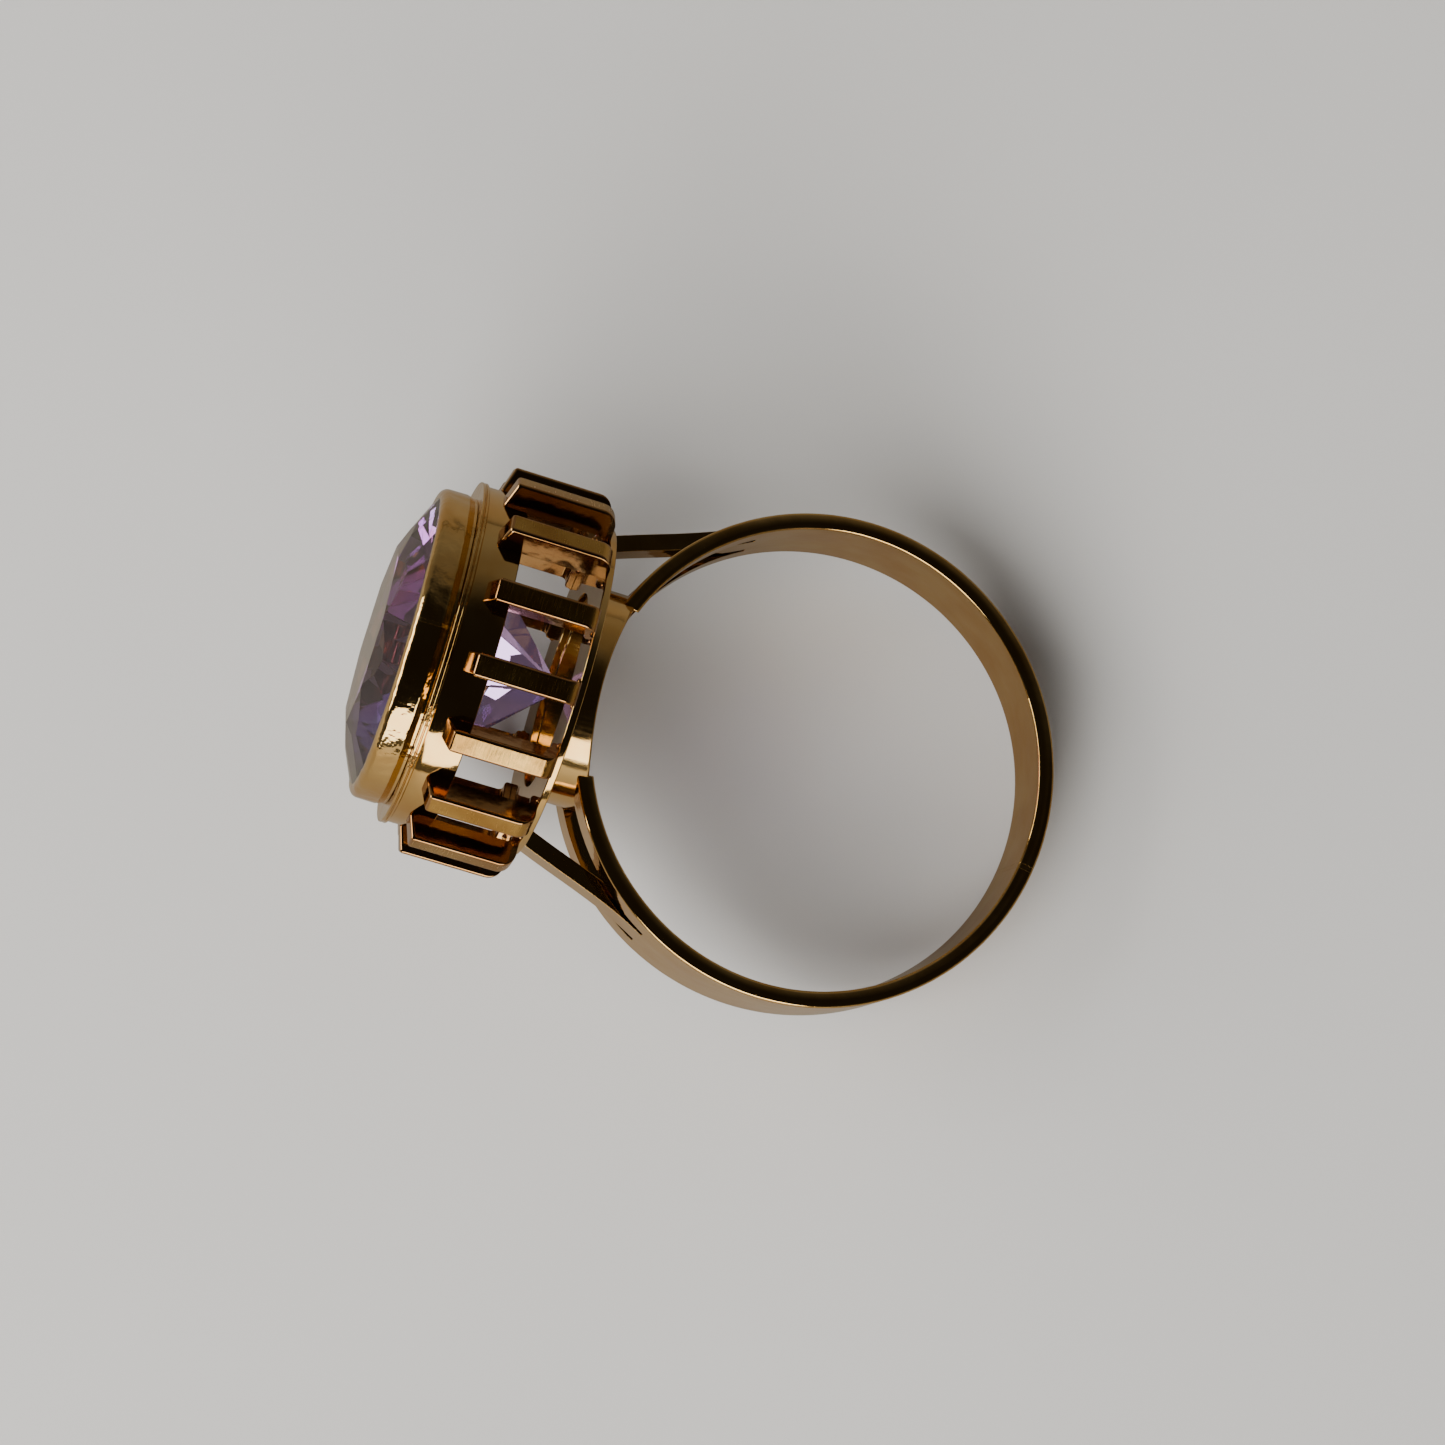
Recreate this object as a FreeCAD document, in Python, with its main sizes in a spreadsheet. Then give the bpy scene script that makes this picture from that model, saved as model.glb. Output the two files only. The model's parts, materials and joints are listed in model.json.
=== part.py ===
"""Cocktail ring: a round amethyst in a sixteen-bar open cage on a split-shoulder shank.

Design frame: the origin is the centre of the finger hole, y is the finger axis and z is the
head axis, with the stone up.  Every piece is drawn there and then takes one common placement,
which lays the ring down on its side: on two bars of the cage and the back edge of the shank.
"""
import FreeCAD, Part
import math
import os

import Sketcher
from FreeCAD import Placement, Rotation, Vector

DIMENSIONS = [
    # the finger hole and the band
    ("finger_radius", 9.0),
    ("band_thickness", 0.65),
    ("band_width_back", 3.2),
    ("band_width_head", 5.4),
    ("tine_width", 1.5),
    ("slot_width", 0.4),
    ("slot_height", 4.6),
    ("tine_start_angle", 24.0),
    ("tine_foot_radius", 5.95),
    ("tine_bow", 0.03),
    # the tube between the finger and the cage
    ("tube_radius", 4.3),
    ("tube_wall", 0.4),
    ("saddle_relief", 0.2),
    ("tube_blank_foot", 6.3),
    # the open cage
    ("plate_radius", 6.6),
    ("plate_thickness", 0.3),
    ("plate_height", 10.05),
    ("bar_count", 16),
    ("bar_outer", 7.74),
    ("bar_width", 0.92),
    ("bar_top_inner", 14.66),
    ("bar_top_outer", 14.36),
    ("bar_toe_inner", 6.2),
    ("bar_toe_height", 0.3),
    ("bar_foot_round", 0.6),
    ("bar_toe_bevel", 0.2),
    ("collar_radius", 6.72),
    ("collar_wall", 0.5),
    ("collar_foot", 13.65),
    # the stone setting
    ("flange_radius", 6.82),
    ("flange_hole", 5.6),
    ("flange_height", 15.2),
    ("flange_thickness", 0.25),
    ("flange_rim_land", 0.07),
    ("flange_groove", 0.06),
    ("bezel_radius", 6.2),
    ("bezel_waist", 6.12),
    ("bezel_wall", 0.28),
    ("bezel_lip_height", 16.88),
    ("bezel_lip_radius", 5.74),
    ("bezel_round", 0.3),
    ("bezel_foot_step", 0.12),
    ("bezel_foot_rise", 0.34),
    ("bezel_shoulder_drop", 0.36),
    ("lip_turn", 0.1),
    ("lip_turn_drop", 0.06),
    ("lip_flat", 0.12),
    ("lip_edge_drop", 0.02),
    ("lip_gap", 0.01),
    ("seat_clearance", 0.12),
    ("seat_drop", 0.3),
    # the stone
    ("stone_radius", 5.88),
    ("table_radius", 3.6),
    ("table_height", 17.78),
    ("girdle_top", 16.76),
    ("girdle_bottom", 16.5),
    ("culet_height", 10.3),
    ("culet_radius", 0.12),
    ("preform_margin", 0.35),
    ("preform_shoulder", 4.35),
    ("halves_step", 0.02),
    ("pavilion_break_radius", 1.176),
    ("pavilion_break_height", 11.106),
    ("crown_break_radius", 4.704),
    ("crown_break_height", 17.331),
    ("star_inner_radius", 3.348),
    ("star_outer_height", 17.392),
]

SHEET = "Dimensions"
MAINS = 8
HALVES = 16
HALF_PITCH = 11.25
STAR_TURN = 22.5
TINE_STEPS = 6
TOLERANCE = 1e-4
BODIES = []


def make_sheet(doc):
    """Put the driving dimensions in a spreadsheet, one aliased cell each."""
    sheet = doc.addObject("Spreadsheet::Sheet", SHEET)
    for row, (alias, size) in enumerate(DIMENSIONS, start=1):
        sheet.set(f"A{row}", alias)
        sheet.set(f"B{row}", str(size))
        sheet.setAlias(f"B{row}", alias)
    doc.recompute()
    return sheet


def cell(alias):
    """Name a cell of the sheet the way an expression does."""
    return f"{SHEET}.{alias}"


def origin_feature(body, role):
    """Find a plane or an axis of a body's own origin."""
    return next(item for item in body.Origin.OriginFeatures if item.Role == role)


def new_body(doc, label):
    """Start the body of one sub-part."""
    body = doc.addObject("PartDesign::Body", label)
    body.Label = label
    BODIES.append(body)
    return body


def new_sketch(body, name, role, turn=0.0):
    """Attach a sketch to one of the body's origin planes, turned about the head axis."""
    sketch = body.newObject("Sketcher::SketchObject", name)
    sketch.AttachmentSupport = [(origin_feature(body, role), "")]
    sketch.MapMode = "FlatFace"
    sketch.AttachmentOffset = Placement(Vector(0, 0, 0), Rotation(Vector(0, 1, 0), turn))
    return sketch


def bind(sketch, index, expression):
    """Drive one constraint of a sketch from the sheet."""
    sketch.setExpression(f"Constraints[{index}]", expression)


def draw_polygon(sketch, corners):
    """Draw a closed outline whose corners are pairs of expressions, and bind each corner."""
    places = [tuple(number(sketch, text) for text in corner) for corner in corners]
    count = len(places)
    first = sketch.GeometryCount
    for index, start in enumerate(places):
        end = places[(index + 1) % count]
        sketch.addGeometry(Part.LineSegment(Vector(*start, 0), Vector(*end, 0)), False)
    for index in range(count):
        following = (index + 1) % count
        sketch.addConstraint(Sketcher.Constraint("Coincident", first + index, 2, first + following, 1))
    for index, (across, up) in enumerate(corners):
        line = first + index
        for kind, text in (("DistanceX", across), ("DistanceY", up)):
            size = number(sketch, text)
            added = sketch.addConstraint(Sketcher.Constraint(kind, -1, 1, line, 1, size))
            bind(sketch, added, text)


def draw_circle(sketch, radius):
    """Draw a circle round the sketch's origin with a bound radius."""
    size = number(sketch, radius)
    circle = sketch.addGeometry(Part.Circle(Vector(0, 0, 0), Vector(0, 0, 1), size), False)
    sketch.addConstraint(Sketcher.Constraint("Coincident", circle, 3, -1, 1))
    added = sketch.addConstraint(Sketcher.Constraint("Radius", circle, size))
    bind(sketch, added, radius)


def number(holder, expression):
    """Work out an expression over the sheet's cells as a plain number."""
    result = holder.evalExpression(expression)
    return float(getattr(result, "Value", result))


def revolve(body, name, corners):
    """Turn an outline of (radius, height) corners into a full ring about the head axis."""
    sketch = new_sketch(body, f"{name}_profile", "XZ_Plane")
    draw_polygon(sketch, corners)
    turned = body.newObject("PartDesign::Revolution", name)
    turned.Profile = sketch
    turned.ReferenceAxis = (origin_feature(body, "Z_Axis"), [""])
    turned.Angle = 360.0
    body.Tip = turned
    return turned


def pad(body, sketch, name, length):
    """Thicken a sketch by the same amount on both sides of its plane."""
    solid = body.newObject("PartDesign::Pad", name)
    solid.Profile = sketch
    solid.SideType = "Symmetric"
    solid.setExpression("Length", length)
    body.Tip = solid
    return solid


def pocket(body, sketch, name, length, side="Symmetric", reverse=False):
    """Cut a sketch out of the body and prove that something was cut."""
    body.Document.recompute()
    before = body.Shape.Volume
    cut = body.newObject("PartDesign::Pocket", name)
    cut.Profile = sketch
    cut.SideType = side
    cut.Reversed = reverse
    cut.setExpression("Length", length)
    body.Tip = cut
    body.Document.recompute()
    if body.Shape.Volume >= before:
        raise RuntimeError(f"{name} cuts nothing")
    return cut


def pattern_round(body, feature, name, count):
    """Repeat a cut evenly about the head axis."""
    pattern = body.newObject("PartDesign::PolarPattern", name)
    pattern.Originals = [feature]
    pattern.Axis = (origin_feature(body, "Z_Axis"), [""])
    pattern.Angle = 360.0
    pattern.Occurrences = count
    body.Tip = pattern
    return pattern


def round_edges(body, feature, name, radius, wanted):
    """Fillet the edges of a feature that a test picks out."""
    body.Document.recompute()
    names = [f"Edge{i}" for i, edge in enumerate(feature.Shape.Edges, start=1) if wanted(edge)]
    if not names:
        raise RuntimeError(f"{name} finds no edges")
    fillet = body.newObject("PartDesign::Fillet", name)
    fillet.Base = (feature, names)
    fillet.setExpression("Radius", radius)
    body.Tip = fillet
    return fillet


def lying_placement(sheet):
    """Lay the ring on its side, touching at the shank's back edge and at the cage's bars."""
    half_pitch = math.pi / sheet.bar_count
    bar_reach = sheet.bar_outer * math.cos(half_pitch) + sheet.bar_width / 2 * math.sin(half_pitch)
    bar_corner = sheet.plate_height + sheet.plate_thickness + sheet.bar_foot_round
    drop = bar_reach - sheet.band_width_back / 2
    run = bar_corner + sheet.finger_radius + sheet.band_thickness
    lean = math.atan2(drop, run)
    across = Vector(0, -1, 0)
    finger = Vector(math.sin(lean), 0, math.cos(lean))
    head = Vector(-math.cos(lean), 0, math.sin(lean))
    return Placement(Vector(0, 0, 0), Rotation(across, finger, head, "ZXY"))


def build_stone(doc):
    """Brilliant-cut stone: a turned preform, then one polar pattern of flat cuts for each tier."""
    body = new_body(doc, "amethyst")
    radius = cell("stone_radius")
    top = cell("girdle_top")
    bottom = cell("girdle_bottom")
    table = cell("table_height")
    culet = cell("culet_height")
    tip = cell("culet_radius")
    revolve(body, "preform", [
        ("0", culet),
        (tip, culet),
        (radius, f"{bottom} - {cell('preform_margin')}"),
        (radius, f"{top} + {cell('preform_margin')}"),
        (cell("preform_shoulder"), table),
        ("0", table),
    ])
    step = cell("halves_step")
    pavilion_break = (cell("pavilion_break_radius"), cell("pavilion_break_height"))
    crown_break = (cell("crown_break_radius"), cell("crown_break_height"))
    star_inner = (cell("star_inner_radius"), table)
    star_outer = (cell("crown_break_radius"), cell("star_outer_height"))
    cut_tier(body, "pavilion_mains", MAINS, 0, (tip, culet), (radius, bottom), "-1")
    cut_tier(body, "pavilion_halves", HALVES, HALF_PITCH, pavilion_break, (radius, f"{bottom} - {step}"), "-1")
    cut_tier(body, "crown_mains", MAINS, 0, (cell("table_radius"), table), (radius, top), "1")
    cut_tier(body, "crown_halves", HALVES, HALF_PITCH, crown_break, (radius, f"{top} + {step}"), "1")
    cut_tier(body, "crown_stars", MAINS, STAR_TURN, star_inner, star_outer, "1")


def cut_tier(body, name, count, turn, inner, outer, side):
    """Cut one tier of facets: the plane through two points, (radius, height), repeated round."""
    reach = f"({outer[0]} - ({inner[0]}))"
    rise = f"({outer[1]} - ({inner[1]}))"
    near = (f"{inner[0]} - {reach} * 2", f"{inner[1]} - {rise} * 2")
    far = (f"{outer[0]} + {reach} * 2", f"{outer[1]} + {rise} * 2")
    clear = f"{cell('stone_radius')} * 3 * ({side})"
    sketch = new_sketch(body, f"{name}_profile", "XZ_Plane", turn)
    draw_polygon(sketch, [near, far, (far[0], f"{outer[1]} + {clear}"), (near[0], f"{outer[1]} + {clear}")])
    cut = pocket(body, sketch, f"{name}_cut", f"{cell('stone_radius')} * 4")
    pattern_round(body, cut, name, count)


def build_bezel(doc):
    """Thin wall round the stone, its rounded lip rubbed over the girdle."""
    body = new_body(doc, "bezel")
    foot = f"{cell('flange_height')} + {cell('flange_thickness')}"
    inner = f"{cell('bezel_radius')} - {cell('bezel_wall')}"
    lip = cell("bezel_lip_height")
    shoulder = f"{lip} - {cell('bezel_shoulder_drop')}"
    turned = revolve(body, "wall", [
        (inner, foot),
        (cell("bezel_waist"), foot),
        (cell("bezel_waist"), f"{foot} + {cell('bezel_foot_step')}"),
        (cell("bezel_radius"), f"{foot} + {cell('bezel_foot_rise')}"),
        (cell("bezel_radius"), shoulder),
        (f"{cell('bezel_radius')} - {cell('lip_turn')}", f"{lip} - {cell('lip_turn_drop')}"),
        (f"{cell('bezel_lip_radius')} + {cell('lip_flat')}", lip),
        (cell("bezel_lip_radius"), f"{lip} - {cell('lip_edge_drop')}"),
        (inner, f"{cell('girdle_top')} + {cell('lip_gap')}"),
    ])
    height = number(body, shoulder)
    round_edges(body, turned, "lip_round", cell("bezel_round"),
                lambda edge: at_height(edge, height) and is_circle(edge))


def is_circle(edge):
    """Tell whether an edge is part of a circle."""
    return isinstance(edge.Curve, Part.Circle)


def at_height(edge, height):
    """Tell whether the whole edge lies at one height, in the body's own frame."""
    box = edge.BoundBox
    return abs(box.ZMin - height) < TOLERANCE and abs(box.ZMax - height) < TOLERANCE


def build_bearing(doc):
    """Conical ledge inside the bezel, which carries the stone just under its girdle."""
    body = new_body(doc, "bearing_ring")
    foot = f"{cell('flange_height')} + {cell('flange_thickness')}"
    outer = f"{cell('bezel_radius')} - {cell('bezel_wall')}"
    slope = f"({cell('stone_radius')} / ({cell('girdle_bottom')} - {cell('culet_height')}))"
    seat = f"({foot} - {cell('culet_height')}) * {slope} + {cell('seat_clearance')}"
    top = f"{cell('girdle_bottom')} - {cell('seat_drop')}"
    seat_top = f"({top} - {cell('culet_height')}) * {slope} + {cell('seat_clearance')}"
    revolve(body, "ledge", [(seat, foot), (outer, foot), (outer, top), (seat_top, top)])


def build_flange(doc):
    """Thin stepped washer between the bezel and the collar, with a groove round its rim."""
    body = new_body(doc, "bezel_flange")
    low = cell("flange_height")
    high = f"{low} + {cell('flange_thickness')}"
    rim = cell("flange_radius")
    revolve(body, "washer", [
        (cell("flange_hole"), low),
        (rim, low),
        (rim, f"{low} + {cell('flange_rim_land')}"),
        (f"{rim} - {cell('flange_groove')}", f"{low} + {cell('flange_thickness')} / 2"),
        (rim, f"{high} - {cell('flange_rim_land')}"),
        (rim, high),
        (cell("flange_hole"), high),
    ])


def build_collar(doc):
    """Short cylinder under the flange, which the tops of the bars are soldered to."""
    body = new_body(doc, "collar")
    outer = cell("collar_radius")
    inner = f"{outer} - {cell('collar_wall')}"
    foot = cell("collar_foot")
    top = cell("flange_height")
    revolve(body, "cylinder", [(inner, foot), (outer, foot), (outer, top), (inner, top)])


def build_base_plate(doc):
    """Flat washer that the bars stand on."""
    body = new_body(doc, "base_plate")
    inner = f"{cell('tube_radius')} - {cell('tube_wall')}"
    outer = cell("plate_radius")
    low = cell("plate_height")
    high = f"{low} + {cell('plate_thickness')}"
    revolve(body, "washer", [(inner, low), (outer, low), (outer, high), (inner, high)])


def build_tube(doc):
    """Short tube between the plate and the finger, its end a saddle just clear of the finger."""
    body = new_body(doc, "gallery_tube")
    outer = cell("tube_radius")
    inner = f"{outer} - {cell('tube_wall')}"
    low = cell("tube_blank_foot")
    top = cell("plate_height")
    revolve(body, "tube", [(inner, low), (outer, low), (outer, top), (inner, top)])
    sketch = new_sketch(body, "finger_circle", "XZ_Plane")
    draw_circle(sketch, f"{cell('finger_radius')} + {cell('saddle_relief')}")
    pocket(body, sketch, "saddle", f"{outer} * 4")


def build_bar(doc, index, sheet):
    """One bar of the cage: a flat-sided strip with a slanted top and a rounded, inturned foot."""
    body = new_body(doc, f"bar_{index + 1:02d}")
    floor = f"{cell('plate_height')} + {cell('plate_thickness')}"
    inner = cell("collar_radius")
    outer = cell("bar_outer")
    toe = f"{floor} + {cell('bar_toe_height')}"
    sketch = new_sketch(body, f"profile_{index + 1:02d}", "XZ_Plane")
    draw_polygon(sketch, [
        (cell("bar_toe_inner"), floor),
        (outer, floor),
        (outer, cell("bar_top_outer")),
        (inner, cell("bar_top_inner")),
        (inner, f"{toe} + {cell('bar_toe_bevel')}"),
        (f"{inner} - {cell('bar_toe_bevel')}", toe),
        (cell("bar_toe_inner"), toe),
    ])
    strip = pad(body, sketch, f"strip_{index + 1:02d}", cell("bar_width"))
    corner = Vector(sheet.bar_outer, 0, sheet.plate_height + sheet.plate_thickness)
    round_edges(body, strip, f"foot_round_{index + 1:02d}", cell("bar_foot_round"),
                lambda edge: is_across(edge, corner))
    pitch = 360.0 / sheet.bar_count
    return Placement(Vector(0, 0, 0), Rotation(Vector(0, 0, 1), (index + 0.5) * pitch))


def is_across(edge, corner):
    """Tell whether an edge runs along y through a corner of the outline."""
    box = edge.BoundBox
    near = abs(box.XMin - corner.x) < TOLERANCE and abs(box.ZMin - corner.z) < TOLERANCE
    return near and box.XLength < TOLERANCE < box.YLength and box.ZLength < TOLERANCE


def build_shank(doc, sheet):
    """Flat band, wider towards the head, each shoulder sawn by two slots into three tines."""
    body = new_body(doc, "shank")
    inner = cell("finger_radius")
    outer = f"({inner} + {cell('band_thickness')})"
    hoop = new_sketch(body, "hoop_profile", "XZ_Plane")
    draw_circle(hoop, inner)
    draw_circle(hoop, outer)
    pad(body, hoop, "hoop", f"{cell('band_width_head')} + 1")
    for name, side in (("near", "1"), ("far", "-1")):
        taper = new_sketch(body, f"taper_{name}", "YZ_Plane")
        draw_polygon(taper, taper_corners(outer, side))
        pocket(body, taper, f"taper_cut_{name}", f"{outer} * 3")
    opening = new_sketch(body, "slots_profile", "YZ_Plane")
    reach = f"({cell('tine_width')} / 2 + {cell('slot_width')})"
    draw_polygon(opening, [
        (f"-{reach}", cell("slot_height")),
        (reach, cell("slot_height")),
        (reach, f"{outer} + 1"),
        (f"-{reach}", f"{outer} + 1"),
    ])
    pocket(body, opening, "slots", f"{outer} * 3")
    for name, side in (("right", "1"), ("left", "-1")):
        tine = new_sketch(body, f"tine_{name}_profile", "XZ_Plane")
        draw_tine(tine, side)
        pad(body, tine, f"tine_{name}", cell("tine_width"))
    seat = new_sketch(body, "tube_circle", "XY_Plane")
    draw_circle(seat, cell("tube_radius"))
    pocket(body, seat, "tube_seat", f"{outer} + 1", "One side", True)


def taper_corners(outer, side):
    """Outline, in y and z, of the metal filed off one edge of the band."""
    back = f"{cell('band_width_back')} / 2"
    head = f"{cell('band_width_head')} / 2"
    clear = f"({cell('band_width_head')} + 2)"
    top = f"({outer} + 0.5)"
    return [
        (f"({side}) * {back}", f"-{top}"),
        (f"({side}) * {head}", top),
        (f"({side}) * {clear}", top),
        (f"({side}) * {clear}", f"-{top}"),
    ]


def draw_tine(sketch, side):
    """Outline of a middle tine, which leaves the hoop and rises to the base plate's underside."""
    middle = f"({cell('finger_radius')} + {cell('band_thickness')} / 2)"
    half = f"{cell('band_thickness')} / 2"
    turn = f"{cell('tine_start_angle')} * 1deg"
    start = (f"{middle} * cos({turn})", f"{middle} * sin({turn})")
    end = (cell("tine_foot_radius"), cell("plate_height"))
    run = f"({start[0]} - {end[0]})"
    rise = f"({end[1]} - {start[1]})"
    length = f"sqrt({run} ^ 2 + {rise} ^ 2)"
    outline = []
    for edge in (1, -1):
        row = []
        for step in range(TINE_STEPS + 1):
            share = step / TINE_STEPS
            lift = f"(({edge}) * {half} - {cell('tine_bow')} * {4 * share * (1 - share):.4f})"
            across = f"{start[0]} - {run} * {share:.4f} + {lift} * {rise} / {length}"
            up = f"{start[1]} + {rise} * {share:.4f} + {lift} * {run} / {length}"
            if step == TINE_STEPS:
                up = end[1]
            row.append((f"({side}) * ({across})", up))
        outline += row if edge == 1 else row[::-1]
    draw_polygon(sketch, outline)


def export_parts(doc):
    """Check every object and every sub-part's shape, then write one STEP file for each."""
    doc.recompute()
    for item in doc.Objects:
        if "Invalid" in item.State or "Error" in item.State:
            raise RuntimeError(f"{item.Name} is {item.State}")
    for body in BODIES:
        shape = body.Shape
        if shape.isNull() or not shape.isValid() or len(shape.Solids) != 1:
            raise RuntimeError(f"{body.Label} has no single valid solid: {len(shape.Solids)}")
    os.makedirs("parts", exist_ok=True)
    for body in BODIES:
        body.Shape.exportStep(f"parts/{body.Label}.step")
        print(f"{body.Label}: {body.Shape.Volume:.2f} mm3")


def main():
    """Build the whole ring."""
    doc = FreeCAD.newDocument("cocktail_ring")
    sheet = make_sheet(doc)
    lying = lying_placement(sheet)
    build_stone(doc)
    build_bezel(doc)
    build_bearing(doc)
    build_flange(doc)
    build_collar(doc)
    build_base_plate(doc)
    build_tube(doc)
    build_shank(doc, sheet)
    turns = {}
    for index in range(int(sheet.bar_count)):
        turns[f"bar_{index + 1:02d}"] = build_bar(doc, index, sheet)
    for body in BODIES:
        body.Placement = lying.multiply(turns.get(body.Label, Placement()))
    export_parts(doc)


main()
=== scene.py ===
"""Cocktail ring: a round amethyst in a sixteen-bar open cage on a split-shoulder gold band.

Every piece is drawn in the ring's own design frame, in millimetres: the origin is the centre of
the finger hole, y is the finger axis and z is the head axis.  It is then laid down the way the
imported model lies, in metres.
"""
import json
import logging
import math
import random
from dataclasses import dataclass, field
from enum import Enum
from typing import Callable, Iterable, Optional, Sequence

import bmesh
import bpy
from mathutils import Matrix, Vector


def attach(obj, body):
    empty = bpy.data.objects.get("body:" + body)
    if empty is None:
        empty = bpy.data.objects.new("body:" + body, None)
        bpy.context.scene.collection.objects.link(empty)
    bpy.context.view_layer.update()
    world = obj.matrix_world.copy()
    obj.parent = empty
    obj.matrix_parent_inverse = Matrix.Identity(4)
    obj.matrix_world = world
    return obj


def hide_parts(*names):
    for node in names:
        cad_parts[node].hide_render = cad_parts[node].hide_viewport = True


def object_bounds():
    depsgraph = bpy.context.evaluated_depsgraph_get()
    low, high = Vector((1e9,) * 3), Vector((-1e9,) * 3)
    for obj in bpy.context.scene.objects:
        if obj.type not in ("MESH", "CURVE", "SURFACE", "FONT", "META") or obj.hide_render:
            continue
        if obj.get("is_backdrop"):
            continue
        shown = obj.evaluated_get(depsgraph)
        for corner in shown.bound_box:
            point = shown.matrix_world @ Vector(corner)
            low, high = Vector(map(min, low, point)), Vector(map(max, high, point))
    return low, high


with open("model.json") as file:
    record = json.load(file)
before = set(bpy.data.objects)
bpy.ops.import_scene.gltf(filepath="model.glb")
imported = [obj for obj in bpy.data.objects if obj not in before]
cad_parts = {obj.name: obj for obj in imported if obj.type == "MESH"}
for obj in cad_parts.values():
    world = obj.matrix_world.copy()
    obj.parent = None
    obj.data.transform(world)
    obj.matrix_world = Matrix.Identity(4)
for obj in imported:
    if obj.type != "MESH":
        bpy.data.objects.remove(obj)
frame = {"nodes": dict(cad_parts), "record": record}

LOG = logging.getLogger("ring")
SEED = 1417
MM = 0.001
WHITE = (1.0, 1.0, 1.0, 1.0)
LAMP_TINT = (1.0, 0.985, 0.96)
BAND_SEAM = math.radians(-79.5)
BEZEL_SEAM = 1.536
HALF_PITCH = 11.25
STAR_TURN = 22.5
Pair = tuple[float, float]
Triple = tuple[float, float, float]
Colour = tuple[float, float, float, float]
Socket = bpy.types.NodeSocket
Tree = bpy.types.NodeTree
Solid = bmesh.types.BMesh
Vert = bmesh.types.BMVert


class Slot(Enum):
    """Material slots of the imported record."""

    POLISHED = "polished_gold"
    SATIN = "satin_gold"
    STONE = "amethyst"


class Tool(Enum):
    """What last touched a gold surface, which sets the direction of its marks."""

    BUFF = "buff"
    FILE_ACROSS = "file_across"
    FILE_ALONG = "file_along"


# --- the lying frame ---


@dataclass(frozen=True)
class LyingFrame:
    """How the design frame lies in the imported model's frame.

    Attributes:
        finger: direction of the finger axis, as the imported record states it.
    """

    finger: Vector

    @classmethod
    def from_record(cls, record: dict) -> "LyingFrame":
        """Read the finger axis from the record's finger mount.

        Args:
            record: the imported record.

        Returns:
            The frame that the ring lies in.
        """
        mount = next(m for m in record["mounts"] if m["name"] == "finger_bore")
        return cls(Vector(mount["axis"]).normalized())

    def matrix(self) -> Matrix:
        """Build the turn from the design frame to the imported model's frame.

        Returns:
            A pure rotation, whose columns are the design axes.
        """
        across = Vector((0.0, -1.0, 0.0))
        head = across.cross(self.finger)
        return Matrix((across, self.finger, head)).transposed().to_4x4()


LYING = LyingFrame.from_record(frame["record"])


# --- mesh helpers ---


def round_corners(corners: Sequence[Pair], radii: Sequence[float], steps: int = 5) -> list[Pair]:
    """Round the corners of a closed outline with circular arcs.

    Args:
        corners: the outline's corners in order.
        radii: one radius for each corner, 0 for a sharp one.
        steps: how many spans each arc has.

    Returns:
        The outline with an arc in place of each rounded corner.
    """
    outline: list[Pair] = []
    count = len(corners)
    for index, radius in enumerate(radii):
        here = Vector(corners[index])
        back = (Vector(corners[index - 1]) - here).normalized()
        ahead = (Vector(corners[(index + 1) % count]) - here).normalized()
        if radius <= 0.0:
            outline.append(tuple(here))
            continue
        half = back.angle(ahead) / 2.0
        centre = here + (back + ahead).normalized() * (radius / math.sin(half))
        first = here + back * (radius / math.tan(half)) - centre
        last = here + ahead * (radius / math.tan(half)) - centre
        sweep = first.angle_signed(last)
        for step in range(steps + 1):
            turned = first.copy()
            turned.rotate(Matrix.Rotation(-sweep * step / steps, 2))
            outline.append(tuple(centre + turned))
    return outline


def new_object(name: str, mesh: bpy.types.Mesh) -> bpy.types.Object:
    """Link a new object for a mesh.

    Args:
        name: the piece's name.
        mesh: its mesh.

    Returns:
        The linked object.
    """
    piece = bpy.data.objects.new(name, mesh)
    bpy.context.scene.collection.objects.link(piece)
    return piece


def settle(name: str, bm: Solid, bevel: float = 0.0, smooth: bool = True,
           segments: int = 3, limit: float = 35.0, weighted: bool = False) -> bpy.types.Object:
    """Turn a design-frame mesh in millimetres into a finished piece in metres, lying down.

    Args:
        name: the piece's name.
        bm: the mesh, which is freed.
        bevel: width of the rounding on every sharp edge, 0 for none.
        smooth: whether the faces are shaded smooth.
        segments: how many spans the rounding has.
        limit: the least angle, in degrees, that counts as a sharp edge.
        weighted: whether the rounding follows the edges' own weights instead of their angle.

    Returns:
        The piece, with its modifiers applied.
    """
    bmesh.ops.recalc_face_normals(bm, faces=bm.faces)
    mesh = bpy.data.meshes.new(name)
    bm.to_mesh(mesh)
    bm.free()
    for face in mesh.polygons:
        face.use_smooth = smooth
    piece = new_object(name, mesh)
    if bevel > 0.0:
        rounding = piece.modifiers.new("rounding", "BEVEL")
        rounding.width = bevel
        rounding.segments = segments
        rounding.limit_method = "WEIGHT" if weighted else "ANGLE"
        rounding.angle_limit = math.radians(limit)
        rounding.use_clamp_overlap = True
    if smooth:
        shading = piece.modifiers.new("shading", "WEIGHTED_NORMAL")
        shading.mode = "FACE_AREA"
    depsgraph = bpy.context.evaluated_depsgraph_get()
    final = bpy.data.meshes.new_from_object(piece.evaluated_get(depsgraph))
    piece.modifiers.clear()
    piece.data = final
    final.name = name
    final.transform(LYING.matrix() @ Matrix.Scale(MM, 4))
    return piece


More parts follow.
